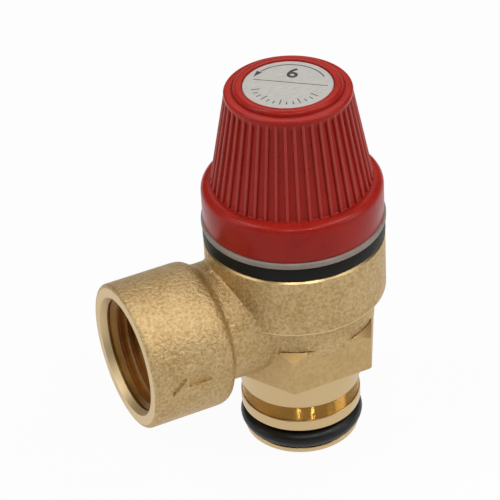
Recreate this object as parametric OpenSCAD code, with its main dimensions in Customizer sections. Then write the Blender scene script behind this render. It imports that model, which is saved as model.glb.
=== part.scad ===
// Spring-loaded pressure relief valve with a hand-test knob, for a heating boiler.
// The valve axis is Z and the outlet points along -X. The origin is the middle of the spigot's end face.
// Sizes are in millimetres.

/* [Inlet spigot] */
// Diameter of the plug-in spigot's lands
spigot_d = 22; // [18:0.1:28]
// Diameter of the waterway through the spigot
inlet_bore_d = 14; // [8:0.1:15]
// Diameter of the nose below the sealing ring
nose_d = 21; // [17:0.1:27]
// Length of the nose below the sealing ring
nose_len = 1.1; // [1:0.05:4]
// Chamfer that leads the nose into its socket
nose_chamfer = 0.2; // [0.2:0.1:0.9]
// Thickness of the sealing ring's round section
o_ring_section = 3.2; // [1.8:0.05:3.5]
// How far the sealing ring stands out of the spigot
o_ring_proud = 0.25; // [0.1:0.05:0.8]
// Free width left above the sealing ring in its groove
o_ring_side_room = 1.25; // [0.2:0.05:1.5]
// Length of the land above the sealing ring
lower_land_len = 2.25; // [1:0.05:4]
// Length of the polished band that the boiler's clip grips
clip_band_len = 3.1; // [1.5:0.05:5]
// Depth of the clip band
clip_band_depth = 0.25; // [0.1:0.05:0.6]
// Length of the land under the hexagon
upper_land_len = 6.5; // [3:0.1:10]

/* [Body] */
// Diameter of the bonnet's thread in the collar
bonnet_thread_d = 26.6; // [24:0.1:34]
// Wall of the collar outside that thread
collar_wall = 2.8; // [1.8:0.1:5]
// Height of the collar
collar_h = 11.8; // [9:0.1:16]
// Bright machined chamfer round the top of the collar
collar_chamfer = 0.6; // [0.2:0.1:1]
// Rounding of the collar's lower edge
collar_round = 1.2; // [0.5:0.1:2]
// Width of the ledge that the diaphragm lies on
ledge_w = 2.7; // [1.5:0.1:4]
// Depth of the collar's bore, from its top to the ledge
ledge_depth = 6.7; // [5:0.1:8]
// Wall of the round neck between hexagon and collar
neck_wall = 3.3; // [2:0.1:5]
// Wall behind the middle of each spanner flat
hex_wall = 2.9; // [2:0.1:5]
// Height of the hexagon's corner edges
hex_edge_h = 6.4; // [4:0.1:10]
// Height of the sloping tops of the hexagon's corners
hex_slope_h = 2.1; // [1:0.1:3]
// Diameter of the turned face under the hexagon, which clears a socket
spot_face_d = 30; // [26:0.1:31]
// Thickness of the floor under the chamber
floor_t = 3.1; // [2:0.1:5]
// Height of the chamber above the outlet's passage
chamber_over = 2.4; // [1:0.1:5]
// Diameter of the throat through that floor, under the seat
throat_d = 13; // [11.5:0.1:14]
// Height of the seat above the chamber's floor
seat_h = 1.5; // [0.8:0.1:3]
// Width of the seat's rim
seat_w = 1.1; // [0.6:0.1:2]

/* [Outlet] */
// Distance from the valve axis to the mouth of the outlet
outlet_reach = 34; // [30:0.5:50]
// Outside diameter of the outlet's pipe thread, G1/2
outlet_thread_d = 20.955; // [16:0.005:27]
// Inside diameter of the outlet's pipe thread
outlet_minor_d = 18.631; // [14:0.005:24]
// Depth of the threaded hole
outlet_thread_len = 15; // [8:0.5:20]
// Countersink at the mouth, across
outlet_sink_d = 21.8; // [17:0.1:28]
// Wall of the barrel outside the thread
hub_wall = 2.82; // [2:0.02:5]
// Chamfer round the outside of the mouth
hub_chamfer = 0.6; // [0.2:0.1:1.5]
// Length of the barrel
hub_len = 16; // [10:0.5:24]
// Rounding of the barrel's rear shoulder
hub_round = 1.8; // [0.5:0.1:3]
// How much slimmer the round bridge between barrel and body is than the barrel, on each side
bridge_slimmer = 2.4; // [0.5:0.1:3]
// How far that bridge lies above the outlet's axis
bridge_rise = 1.3; // [0:0.1:2]
// Diameter of the passage from the chamber to the threaded hole
outlet_bore_d = 13; // [8:0.1:16]
// Height of the cast flow arrow above the barrel
arrow_proud = 0.35; // [0.1:0.05:0.6]
// Length of the flow arrow
arrow_len = 7.5; // [4:0.1:10]
// Width of the flow arrow's head
arrow_w = 5.2; // [2:0.1:7]
// Length of the flow arrow's head
arrow_head = 3.2; // [2:0.1:5]
// Width of the flow arrow's shaft
arrow_shaft = 1.6; // [0.8:0.1:3]
// Distance of the flow arrow's tip from the mouth
arrow_in = 3; // [1:0.1:8]
// Distance of the flow arrow below the outlet's axis
arrow_drop = 1; // [0:0.1:4]

/* [Bonnet] */
// Thickness of the bonnet's flange, the black band above the collar
flange_t = 2.55; // [1.5:0.05:4]
// How far the flange stands out past the collar
flange_proud = 0.05; // [0:0.05:0.4]
// Wall of the bonnet's spring housing
bonnet_wall = 2.2; // [1.4:0.1:3]
// Height of the spring housing above the flange
housing_h = 16.8; // [14:0.1:20]
// Thickness of the slip ring under the knob
slip_ring_t = 1.15; // [0.6:0.05:2]
// How far the slip ring stands out past the collar
slip_ring_proud = 0.2; // [0:0.05:0.5]

/* [Diaphragm and stem] */
// Thickness of the rubber diaphragm
diaphragm_t = 1.5; // [0.8:0.1:2.2]
// Thickness of the ring between diaphragm and bonnet
clamp_ring_t = 0.8; // [0.5:0.1:1.5]
// Diameter of the stem
stem_d = 6; // [4:0.1:8]
// Diameter of the stem's neck inside the knob
stem_neck_d = 5; // [3.4:0.1:6]
// Height of the stem's shoulder on the spring plate
stem_shoulder_h = 1.2; // [0.6:0.1:2]
// Thickness of the lower spring plate
spring_plate_t = 2; // [1:0.1:3]
// Thickness of the seat seal
seal_t = 2.4; // [1.5:0.1:4]
// How far the seat seal reaches out past the seat
seal_over = 0.9; // [0.4:0.1:2]
// Wall of the cup round the seat seal
cup_wall = 1; // [0.6:0.1:2]
// Height of the seal that stands out of its cup
seal_bare = 0.6; // [0.2:0.1:1]
// Thickness of the cup's crown above the seal
cup_crown = 2; // [1:0.1:4]
// Thickness of the plate that backs the diaphragm
backing_t = 1.6; // [0.8:0.1:3]
// Wall of the column between the cup and that plate
column_wall = 1.6; // [0.8:0.1:3]

/* [Spring] */
// Diameter of the spring's wire
wire_d = 2; // [1.2:0.1:2.5]
// Middle diameter of the spring's coils
coil_d = 12.4; // [10.3:0.1:14.9]
// Turns of the spring
coil_turns = 4.5; // [3:0.5:5]
// How much closer the end turns lie, as a share of the spring's length
end_close = 0.02; // [0:0.005:0.03]
// Thickness of the washer above the spring
spring_washer_t = 1; // [0.5:0.1:2]
// Thickness of the adjusting nut
adjusting_nut_t = 3.4; // [2:0.1:5]
// Thickness of the lock ring above the adjusting nut
lock_ring_t = 1.6; // [1:0.1:3]
// Depth of the lock ring below the top of its housing
lock_sunk = 0.6; // [0.3:0.1:2]
// Width of the lock ring's band
lock_band = 1.4; // [1:0.1:2.5]
// Width of the key slots in the nut and the lock ring
key_slot_w = 1.5; // [0.8:0.1:2]
// Depth of the key slots in the nut
key_slot_depth = 1.2; // [0.5:0.1:1.8]

/* [Knob] */
// How much slimmer the knob's skirt is than the collar
skirt_slimmer = 0.2; // [0:0.1:2]
// Height of the skirt
skirt_h = 7.05; // [5:0.05:12]
// Rounding of the skirt's upper edge
skirt_round = 1.4; // [0.3:0.1:1.6]
// Width of the shelf on the skirt, outside the ribs
shelf_w = 1.7; // [1:0.1:3]
// Height of the ribbed cone, from the skirt to the shoulder
cone_h = 17.45; // [12:0.05:20]
// Lean of the ribbed cone, in degrees
cone_lean = 10.5; // [6:0.1:12]
// Number of ribs
rib_count = 45; // [30:1:60]
// Width of a rib at its crest
rib_w = 0.8; // [0.5:0.05:1.2]
// Height of a rib
rib_h = 0.55; // [0.3:0.05:0.8]
// How much wider a rib is at its foot, on each side
rib_draft = 0.15; // [0.05:0.05:0.3]
// How far the shoulder above the ribs stands out past them
shoulder_over = 0.04; // [0.03:0.01:0.3]
// Height of that smooth shoulder
shoulder_h = 0.8; // [0.6:0.1:4]
// Rounding of the shoulder
shoulder_round = 0.5; // [0.3:0.1:0.7]
// Width of the flat ring between shoulder and lip
ring_w = 1.6; // [0.8:0.1:2]
// Width of the fine groove at the foot of the lip
ring_groove = 0.3; // [0.2:0.1:0.6]
// Height of the rounded lip round the label
lip_h = 0.9; // [0.8:0.1:2]
// Rounding of the lip's outer edge
lip_round = 0.8; // [0.3:0.1:0.8]
// Wall of the knob
knob_wall = 1.5; // [1.2:0.1:2.4]
// Thickness of the knob's web, which the stem carries
web_t = 3.9; // [2:0.1:5]
// Outside diameter of the boss round the stem's neck
boss_d = 9; // [7.5:0.1:11]
// Diameter of the label
label_d = 15.6; // [12:0.1:17]
// Thickness of the label
label_t = 0.4; // [0.2:0.05:0.8]
// Depth of the label's face below the lip
label_sunk = 0.3; // [0.3:0.1:1.5]

/* [Hand test] */
// Turn of the knob that lifts the seal, in degrees
test_turn = 80; // [40:1:85]
// Lift of the seal at the end of that turn
test_lift = 1.6; // [0.8:0.1:2.2]
// Angle that each follower covers, in degrees
follower_angle = 24; // [10:1:28]
// Height of the cams at the start of their climb
cam_base = 0.5; // [0.2:0.1:1]
// How far the cams reach past the followers at both ends, in degrees
cam_over = 3; // [1:1:3]
// Set-back of the cams from the faces of the spring housing
cam_set_back = 0.25; // [0.1:0.05:0.5]

/* [Fasteners] */
// Diameter of the screws in the stem
screw_d = 3; // [2:0.1:4]
// Diameter of the screws' heads
screw_head_d = 5.6; // [4:0.1:7]
// Height of the screws' heads
screw_head_h = 1.1; // [0.8:0.1:2]
// Width of the slot in the screws' heads
screw_slot = 0.8; // [0.5:0.1:1.2]
// Depth of the screws in the stem
screw_len = 6; // [4:0.1:10]
// Diameter of the washers under the screws' heads
screw_washer_d = 9; // [7:0.1:10.4]
// Thickness of those washers
screw_washer_t = 0.8; // [0.5:0.1:1.5]

/* [Clearances] */
// Gap round a part that slides or turns on another
run_gap = 0.08; // [0.03:0.01:0.1]
// Gap round a part that is screwed or laid into another
seat_gap = 0.1; // [0.05:0.01:0.2]
// Gap under a part that rests on another and lifts off it
rest_gap = 0.05; // [0.02:0.01:0.1]
// Room round the stem in the washer above the spring
stem_room = 0.4; // [0.2:0.1:1]
// Room round the spring and its plate in the bonnet
spring_room = 0.6; // [0.4:0.1:1.2]
// Room between the spring and the stem's shoulder inside it
shoulder_room = 1; // [0.6:0.1:1]
// Least room between the spring housing and the knob that covers it
cover_room = 0.5; // [0.4:0.1:0.6]
// Room round the washer in the knob
screw_room = 0.5; // [0.2:0.1:1]
// Gap between the followers and the cams
cam_gap = 0.3; // [0.2:0.05:0.5]

/* [Hidden] */
$fn = 64;
// How far a cut reaches past the face it starts from
CUT = 1;
// How far a joined piece reaches into the piece that it joins
ROOT = 0.3;

// Spigot levels, from its end face upwards
groove_z = nose_len;
groove_w = o_ring_section + o_ring_side_room;
o_ring_z = groove_z + rest_gap + o_ring_section / 2;
o_ring_mid_d = spigot_d + 2 * o_ring_proud - o_ring_section;
groove_d = o_ring_mid_d - o_ring_section - rest_gap;
clip_z = groove_z + groove_w + lower_land_len;
hex_z = clip_z + clip_band_len + upper_land_len;

// Chamber and outlet
chamber_d = bonnet_thread_d - 2 * ledge_w;
floor_z = hex_z + floor_t;
seat_z = floor_z + seat_h;
seat_d = throat_d + 2 * seat_w;
outlet_z = floor_z + outlet_bore_d / 2 + seat_gap;
hub_d = outlet_thread_d + 2 * hub_wall;
hub_rear = outlet_reach - hub_len;
bridge_d = hub_d - 2 * bridge_slimmer;

// Outside of the body
hex_af = chamber_d + 2 * hex_wall;
hex_corner_d = hex_af / cos(30);
neck_d = chamber_d + 2 * neck_wall;
hex_slope_z = hex_z + hex_edge_h;
hex_top_z = hex_slope_z + hex_slope_h;
collar_d = bonnet_thread_d + 2 * collar_wall;
ledge_z = outlet_z + outlet_bore_d / 2 + chamber_over;
collar_top_z = ledge_z + ledge_depth;
collar_z = collar_top_z - collar_h;

// Diaphragm pack and bonnet
ring_z = ledge_z + diaphragm_t;
bonnet_z = ring_z + clamp_ring_t;
flange_top_z = collar_top_z + flange_t;
housing_top_z = flange_top_z + housing_h;
flange_d = collar_d + 2 * flange_proud;
diaphragm_d = bonnet_thread_d - 4 * seat_gap;
cavity_d = coil_d + wire_d + 2 * spring_room;
clamp_ring_in_d = cavity_d + 2 * spring_room;
housing_d = cavity_d + 2 * bonnet_wall;
slip_ring_top_z = flange_top_z + slip_ring_t;
slip_ring_d = collar_d + 2 * slip_ring_proud;

// Spring stack
plate_z = ledge_z + diaphragm_t;
spring_z = plate_z + spring_plate_t;
lock_z = housing_top_z - lock_ring_t - lock_sunk;
nut_z = lock_z - adjusting_nut_t;
spring_washer_z = nut_z - spring_washer_t;
spring_h = spring_washer_z - spring_z;
plate_d = coil_d + wire_d;

// Knob, from its lower edge upwards: it is as wide as the collar, or as the spring housing inside it asks
knob_z = slip_ring_top_z + rest_gap;
shelf_z = knob_z + skirt_h;
cover_r = housing_d / 2 + cover_room + knob_wall + rib_h / cos(cone_lean)
    + (housing_top_z - shelf_z) * tan(cone_lean);
skirt_d = max(collar_d - skirt_slimmer, 2 * (cover_r + shelf_w));
crest_r = skirt_d / 2 - shelf_w;
root_r = crest_r - rib_h / cos(cone_lean);
cone_top_z = shelf_z + cone_h;
shoulder_top_z = cone_top_z + shoulder_h;
shoulder_r = crest_r + shoulder_over - cone_h * tan(cone_lean);
lip_r = shoulder_r - ring_w;
knob_top_z = shoulder_top_z + lip_h;
label_face_z = knob_top_z - label_sunk;
label_z = label_face_z - label_t;
screw_pocket_h = screw_washer_t + screw_head_h + 3 * rest_gap;
web_top_z = label_z - screw_pocket_h - rest_gap;
web_z = web_top_z - web_t;
pocket_d = screw_washer_d + 2 * screw_room;
ceiling_z = label_z - knob_wall;

// Stem and what it carries
stem_shoulder_d = coil_d - wire_d - 2 * shoulder_room;
neck_z = web_z - rest_gap;
stem_top_z = web_top_z + rest_gap;
seal_z = seat_z + rest_gap;
seal_d = seat_d + 2 * seal_over;
cup_top_z = seal_z + seal_t + cup_crown;
stem_z = seal_z + seal_t;
backing_z = ledge_z - backing_t;
backing_d = plate_d;
column_d = stem_d + 2 * column_wall;

// Cams on the bonnet and followers on the knob
CAM_COUNT = 3;
CAM_STEPS = 10;
cam_rise = test_lift / test_turn;
cam_from = -follower_angle / 2 - cam_over;
cam_to = test_turn + follower_angle / 2 + cam_over;
cam_r_in = cavity_d / 2 + cam_set_back;
cam_r_out = housing_d / 2 - cam_set_back;

BRASS = "#be9b64";
TURNED_BRASS = "#cdb48c";
STEEL = "#a9adb0";
RUBBER = "#1e1e1e";
BLACK_NYLON = "#232323";
RED = "#b02a25";
GREY = "#9a9690";
LABEL_GREY = "#c8c6c0";

// A flat ring, or a plain disc with a hole
module ring(outer, inner, height, z) {
    translate([0, 0, z]) difference() {
        cylinder(d = outer, h = height);
        translate([0, 0, -CUT]) cylinder(d = inner, h = height + 2 * CUT);
    }
}

// A half section of a turned shape, between two heights, out to a diameter
module turned(diameter, from, to) {
    translate([0, from]) square([diameter / 2, to - from]);
}

// A corner to take off a half section, which leaves a rounding of the given size
module corner(size) {
    difference() {
        translate([-size, -size]) square([size + CUT, size + CUT]);
        translate([-size, -size]) circle(r = size);
    }
}

// Points of a ring sector whose chosen face climbs by cam_rise for each degree
function sector_points(r_in, r_out, from, to, flat_z, slope_z) = [
    for (i = [0 : CAM_STEPS]) let (a = from + (to - from) * i / CAM_STEPS)
        for (p = [[r_in, flat_z], [r_out, flat_z],
                  [r_out, slope_z + cam_rise * a], [r_in, slope_z + cam_rise * a]])
            [p[0] * cos(a), p[0] * sin(a), p[1]]
];

// Triangles of that sector, turned inside out when its climbing face is underneath
function sector_faces(upper) = [
    for (f = concat(
        [[0, 1, 2], [0, 2, 3]],
        [for (i = [0 : CAM_STEPS - 1]) for (k = [0 : 3]) let (
            a = 4 * i + k, b = 4 * i + (k + 1) % 4)
            each [[a, a + 4, b + 4], [a, b + 4, b]]],
        [let (e = 4 * CAM_STEPS) each [[e, e + 2, e + 1], [e, e + 3, e + 2]]]))
        upper ? [f[2], f[1], f[0]] : f
];

// The cast flow arrow, drawn along +X with its tip at the origin
module arrow_outline() {
    polygon([
        [0, 0], [arrow_head, arrow_w / 2], [arrow_head, arrow_shaft / 2], [arrow_len, arrow_shaft / 2],
        [arrow_len, -arrow_shaft / 2], [arrow_head, -arrow_shaft / 2], [arrow_head, -arrow_w / 2],
    ]);
}

// Half section of neck and collar
module body_section() {
    difference() {
        union() {
            turned(neck_d, hex_slope_z, collar_z + collar_round);
            turned(collar_d, collar_z, collar_top_z);
        }
        translate([collar_d / 2, collar_z]) mirror([0, 1]) corner(collar_round);
        translate([collar_d / 2, collar_top_z]) rotate(45)
            square(collar_chamfer * sqrt(2), center = true);
    }
}

// Half section of the barrel, along the outlet's axis
module hub_section() {
    difference() {
        turned(hub_d, hub_rear, outlet_reach);
        translate([hub_d / 2, hub_rear]) mirror([0, 1]) corner(hub_round);
        translate([hub_d / 2, outlet_reach]) rotate(45)
            square(hub_chamfer * sqrt(2), center = true);
    }
}

module valve_body() {
    sink = (outlet_sink_d - outlet_minor_d) / 2;
    color(BRASS) difference() {
        union() {
            rotate_extrude() body_section();
            intersection() {
                translate([0, 0, hex_z])
                    cylinder(d = hex_corner_d, h = hex_edge_h + hex_slope_h, $fn = 6);
                union() {
                    translate([0, 0, hex_z - CUT]) cylinder(d = hex_corner_d + CUT, h = hex_edge_h + CUT);
                    translate([0, 0, hex_slope_z])
                        cylinder(d1 = hex_corner_d + CUT, d2 = neck_d, h = hex_slope_h);
                }
            }
            translate([0, 0, outlet_z]) rotate([0, -90, 0]) rotate_extrude() hub_section();
            translate([0, 0, outlet_z + bridge_rise]) rotate([0, -90, 0])
                cylinder(d = bridge_d, h = hub_rear + hub_round);
            intersection() {
                translate([-outlet_reach + arrow_in, 0, outlet_z - arrow_drop]) rotate([90, 0, 0])
                    linear_extrude(height = hub_d) arrow_outline();
                translate([-outlet_reach, 0, outlet_z]) rotate([0, 90, 0])
                    cylinder(d = hub_d + 2 * arrow_proud, h = hub_len);
            }
        }
        translate([0, 0, hex_z - spigot_d]) cylinder(d = spot_face_d, h = spigot_d);
        translate([0, 0, hex_z - CUT]) cylinder(d = throat_d, h = seat_z - hex_z + 2 * CUT);
        ring(chamber_d, seat_d, ledge_z - floor_z + CUT, floor_z);
        translate([0, 0, seat_z]) cylinder(d = chamber_d, h = ledge_z - seat_z + CUT);
        translate([0, 0, ledge_z]) cylinder(d = bonnet_thread_d, h = ledge_depth + CUT);
        translate([0, 0, outlet_z]) rotate([0, -90, 0]) {
            cylinder(d = outlet_bore_d, h = outlet_reach);
            translate([0, 0, outlet_reach - outlet_thread_len])
                cylinder(d = outlet_minor_d, h = outlet_thread_len + CUT);
            translate([0, 0, outlet_reach - sink])
                cylinder(d1 = outlet_minor_d, d2 = outlet_sink_d + 2 * CUT, h = sink + CUT);
        }
    }
}

// The spigot under the hexagon: nose, groove for the sealing ring, land, clip band and land.
// It is turned on the same forging as the body, and is a node of its own so that it stays round to a socket.
module inlet_spigot() {
    color(TURNED_BRASS) rotate_extrude() difference() {
        union() {
            turned(nose_d, 0, groove_z);
            turned(groove_d, 0, hex_z);
            turned(spigot_d, groove_z + groove_w, clip_z);
            turned(spigot_d - 2 * clip_band_depth, clip_z, clip_z + clip_band_len);
            turned(spigot_d, clip_z + clip_band_len, hex_z);
        }
        translate([nose_d / 2, 0]) rotate(45) square(nose_chamfer * sqrt(2), center = true);
        turned(inlet_bore_d, -CUT, hex_z + CUT);
    }
}

module inlet_o_ring() {
    color(RUBBER) translate([0, 0, o_ring_z]) rotate_extrude()
        translate([o_ring_mid_d / 2, 0]) circle(d = o_ring_section);
}

// The diaphragm is drawn with its middle clamped flat, as it lies with the valve shut
module diaphragm() {
    color(RUBBER) ring(diaphragm_d, stem_d + 2 * seat_gap, diaphragm_t, ledge_z);
}

module diaphragm_ring() {
    color(STEEL) ring(diaphragm_d, clamp_ring_in_d, clamp_ring_t, ring_z);
}

module bonnet() {
    color(BLACK_NYLON) {
        difference() {
            rotate_extrude() {
                turned(bonnet_thread_d - 2 * seat_gap, bonnet_z, collar_top_z);
                turned(flange_d, collar_top_z, flange_top_z);
                turned(housing_d, flange_top_z, housing_top_z);
            }
            translate([0, 0, bonnet_z - CUT])
                cylinder(d = cavity_d, h = housing_top_z - bonnet_z + 2 * CUT);
        }
        for (i = [0 : CAM_COUNT - 1]) rotate(i * 360 / CAM_COUNT)
            polyhedron(
                sector_points(cam_r_in, cam_r_out, cam_from, cam_to,
                    housing_top_z - CUT, housing_top_z + cam_base - cam_rise * cam_from),
                sector_faces(true));
    }
}

module slip_ring() {
    color(GREY) ring(slip_ring_d, housing_d + 2 * spring_room, slip_ring_t, flange_top_z);
}

// Height of the wire's middle after a share of its turns: the end turns lie closer than the rest
function spring_rise(s) = spring_z + wire_d / 2 + rest_gap
    + (spring_h - wire_d - 2 * rest_gap) * (s - end_close * sin(360 * s));

function spring_middle(s) = let (a = 360 * coil_turns * s)
    [coil_d / 2 * cos(a), coil_d / 2 * sin(a), spring_rise(s)];

SPRING_SIDES = 6;
spring_rings = round(8 * coil_turns);
spring_points = [
    for (i = [0 : spring_rings]) let (s = i / spring_rings, a = 360 * coil_turns * s)
        for (k = [0 : SPRING_SIDES - 1]) let (b = 360 * k / SPRING_SIDES)
            spring_middle(s) + wire_d / 2 * [cos(b) * cos(a), cos(b) * sin(a), sin(b)]
];
spring_faces = concat(
    [for (k = [1 : SPRING_SIDES - 2]) [0, k, k + 1]],
    [for (i = [0 : spring_rings - 1]) for (k = [0 : SPRING_SIDES - 1]) let (
        a = SPRING_SIDES * i + k, b = SPRING_SIDES * i + (k + 1) % SPRING_SIDES)
        each [[a, a + SPRING_SIDES, b + SPRING_SIDES], [a, b + SPRING_SIDES, b]]],
    [let (e = SPRING_SIDES * spring_rings) for (k = [1 : SPRING_SIDES - 2]) [e, e + k + 1, e + k]]
);
spring_gap = min([
    for (i = [0 : spring_rings - 8])
        spring_rise((i + 8) / spring_rings) - spring_rise(i / spring_rings) - wire_d
]);
echo(spring_least_gap_to_itself = spring_gap);

module spring() {
    color(STEEL) polyhedron(spring_points, spring_faces);
}

module upper_spring_washer() {
    color(STEEL) ring(plate_d, stem_d + 2 * stem_room, spring_washer_t, spring_washer_z);
}

// Brass nut that sets the spring's load, with two slots for a pronged key
module adjusting_nut() {
    color(TURNED_BRASS) difference() {
        ring(cavity_d - 2 * seat_gap, stem_d + 2 * run_gap, adjusting_nut_t, nut_z);
        for (side = [0, 180]) rotate(side)
            translate([stem_d / 2 + key_slot_w, -key_slot_w / 2, lock_z - key_slot_depth])
                cube([key_slot_w, key_slot_w, key_slot_depth + CUT]);
    }
}

module lock_ring() {
    outer_d = cavity_d - 2 * seat_gap;
    inner_d = outer_d - 2 * lock_band;
    color(TURNED_BRASS) difference() {
        ring(outer_d, inner_d, lock_ring_t, lock_z);
        for (side = [0 : 90 : 270]) rotate(side) translate([0, -key_slot_w / 2, lock_z - CUT])
            cube([inner_d / 2 + lock_band / 2, key_slot_w, lock_ring_t + 2 * CUT]);
    }
}

module stem() {
    color(TURNED_BRASS) difference() {
        union() {
            translate([0, 0, stem_z]) cylinder(d = stem_d, h = neck_z - stem_z);
            translate([0, 0, neck_z]) cylinder(d = stem_neck_d, h = stem_top_z - neck_z);
            translate([0, 0, spring_z]) cylinder(d = stem_shoulder_d, h = stem_shoulder_h);
        }
        translate([0, 0, stem_z - CUT]) cylinder(d = screw_d + 2 * seat_gap, h = screw_len + CUT + rest_gap);
        translate([0, 0, stem_top_z - screw_len - rest_gap])
            cylinder(d = screw_d + 2 * seat_gap, h = screw_len + CUT + rest_gap);
    }
}

// Brass carrier: a cup that holds the seal, a column, and the plate that backs the diaphragm
module disc_holder() {
    cup_d = seal_d + 2 * seat_gap + 2 * cup_wall;
    color(TURNED_BRASS) difference() {
        rotate_extrude() {
            turned(cup_d, seal_z + seal_bare, cup_top_z);
            turned(column_d, cup_top_z - CUT, ledge_z);
            turned(backing_d, backing_z, ledge_z);
        }
        translate([0, 0, seal_z]) cylinder(d = seal_d + 2 * seat_gap, h = seal_t);
        translate([0, 0, seal_z]) cylinder(d = stem_d + 2 * seat_gap, h = ledge_z - seal_z + CUT);
    }
}

module seat_seal() {
    color(RUBBER) ring(seal_d, screw_d + 2 * seat_gap, seal_t, seal_z);
}

module seal_washer() {
    color(STEEL) ring(screw_washer_d, screw_d + 2 * seat_gap, screw_washer_t, seal_z - screw_washer_t);
}

// A cheese-head screw with a slot, drawn head down at the origin
module slotted_screw(grip) {
    difference() {
        union() {
            cylinder(d = screw_head_d, h = screw_head_h);
            cylinder(d = screw_d, h = screw_head_h + grip + screw_len);
        }
        translate([-screw_head_d, -screw_slot / 2, -CUT])
            cube([2 * screw_head_d, screw_slot, CUT + screw_head_h / 2]);
    }
}

module seal_screw() {
    color(STEEL) translate([0, 0, seal_z - screw_washer_t - screw_head_h])
        slotted_screw(screw_washer_t + seal_t);
}

module lower_spring_plate() {
    color(STEEL) ring(plate_d, stem_d + 2 * seat_gap, spring_plate_t, plate_z);
}

// Half section of the knob's outside: skirt, root of the ribs, shoulder, ring, groove and lip
module knob_section() {
    difference() {
        union() {
            turned(skirt_d, knob_z, shelf_z);
            polygon([
                [0, shelf_z - CUT], [root_r, shelf_z - CUT], [root_r, shelf_z],
                [root_r - cone_h * tan(cone_lean), cone_top_z], [0, cone_top_z],
            ]);
            turned(2 * shoulder_r, cone_top_z, shoulder_top_z);
            turned(2 * lip_r, shoulder_top_z - CUT, knob_top_z);
        }
        translate([skirt_d / 2, shelf_z]) corner(skirt_round);
        translate([shoulder_r, shoulder_top_z]) corner(shoulder_round);
        translate([lip_r, knob_top_z]) corner(lip_round);
        translate([lip_r + ring_groove / 2, shoulder_top_z]) circle(d = ring_groove);
    }
}

// One raised rib, straight-sided with a small draft, that leans with the cone
module rib() {
    foot_w = rib_w + 2 * rib_draft;
    translate([root_r, 0, shelf_z]) rotate([0, -cone_lean, 0]) translate([0, 0, -ROOT])
        linear_extrude(height = cone_h / cos(cone_lean) + 2 * ROOT) polygon([
            [-ROOT, -foot_w / 2], [rib_h, -rib_w / 2], [rib_h, rib_w / 2], [-ROOT, foot_w / 2],
        ]);
}

module knob() {
    inner_foot_r = root_r - knob_wall;
    inner_top_r = inner_foot_r - (ceiling_z - shelf_z) * tan(cone_lean);
    follower_z = housing_top_z + cam_base - cam_rise * cam_from + cam_gap;
    color(RED) {
        difference() {
            union() {
                rotate_extrude() knob_section();
                for (i = [0 : rib_count - 1]) rotate(i * 360 / rib_count) rib();
            }
            rotate_extrude() polygon([
                [0, knob_z - CUT], [skirt_d / 2 - knob_wall, knob_z - CUT],
                [skirt_d / 2 - knob_wall, shelf_z - knob_wall - shelf_w], [inner_foot_r, shelf_z - knob_wall],
                [inner_top_r, ceiling_z], [pocket_d / 2 + knob_wall, ceiling_z],
                [pocket_d / 2 + knob_wall, web_top_z - knob_wall], [boss_d / 2, web_top_z - knob_wall],
                [boss_d / 2, web_z], [0, web_z],
            ]);
            translate([0, 0, web_z - CUT]) cylinder(d = stem_neck_d + 2 * run_gap, h = web_t + 2 * CUT);
            translate([0, 0, web_top_z]) cylinder(d = pocket_d, h = screw_pocket_h + label_t);
            translate([0, 0, label_z - rest_gap])
                cylinder(d = label_d + 2 * seat_gap, h = label_t + label_sunk + CUT);
        }
        for (i = [0 : CAM_COUNT - 1]) rotate(i * 360 / CAM_COUNT)
            polyhedron(
                sector_points(cam_r_in, cam_r_out, -follower_angle / 2, follower_angle / 2,
                    ceiling_z + ROOT, follower_z),
                sector_faces(false));
    }
}

module knob_washer() {
    color(STEEL) ring(screw_washer_d, screw_d + 2 * seat_gap, screw_washer_t, stem_top_z);
}

module knob_screw() {
    color(STEEL) translate([0, 0, stem_top_z + screw_washer_t + screw_head_h]) mirror([0, 0, 1])
        slotted_screw(screw_washer_t);
}

module label() {
    color(LABEL_GREY) translate([0, 0, label_z]) cylinder(d = label_d, h = label_t);
}

valve_body();
inlet_spigot();
inlet_o_ring();
diaphragm();
diaphragm_ring();
bonnet();
slip_ring();
spring();
upper_spring_washer();
adjusting_nut();
lock_ring();
stem();
disc_holder();
seat_seal();
seal_washer();
seal_screw();
lower_spring_plate();
knob();
knob_washer();
knob_screw();
label();
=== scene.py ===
import math

import bpy
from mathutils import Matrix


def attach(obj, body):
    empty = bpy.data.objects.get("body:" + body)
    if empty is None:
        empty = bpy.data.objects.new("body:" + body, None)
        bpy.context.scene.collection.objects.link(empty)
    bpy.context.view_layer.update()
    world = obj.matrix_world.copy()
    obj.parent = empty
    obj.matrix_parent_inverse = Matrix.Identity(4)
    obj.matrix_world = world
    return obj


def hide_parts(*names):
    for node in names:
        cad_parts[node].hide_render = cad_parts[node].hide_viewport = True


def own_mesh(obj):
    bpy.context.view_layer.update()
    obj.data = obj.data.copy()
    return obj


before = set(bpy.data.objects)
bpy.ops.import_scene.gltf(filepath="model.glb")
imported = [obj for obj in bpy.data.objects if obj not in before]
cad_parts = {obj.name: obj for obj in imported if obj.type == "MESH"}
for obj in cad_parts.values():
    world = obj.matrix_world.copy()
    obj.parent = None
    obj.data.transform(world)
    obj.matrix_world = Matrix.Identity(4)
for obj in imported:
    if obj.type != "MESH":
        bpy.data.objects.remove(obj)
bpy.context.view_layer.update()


# Valve body: one hot forging of brass, shot-blasted all over, with collar, hexagon and outlet in one piece.
# The blasting leaves a fine matt grain, and every edge that no tool has touched stays soft.
# The mouth, the collar's rim and the bores are then cut bright on a lathe.
MM = 0.001  # the scene is in metres
ROUND = 144  # sides of a turned piece
HAIR = 0.001  # points nearer to each other than this become one
collar_radius, collar_low, collar_top, collar_edge, core_inset = 16.1, 30.9, 42.7, 0.4, 0.15
neck_radius, rim_chamfer, rim_past = 13.9, 0.6, 0.9
hex_flats, hex_low, hex_slope, hex_top, hex_edge = 27.0, 17.4, 23.8, 25.9, 0.4
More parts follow.
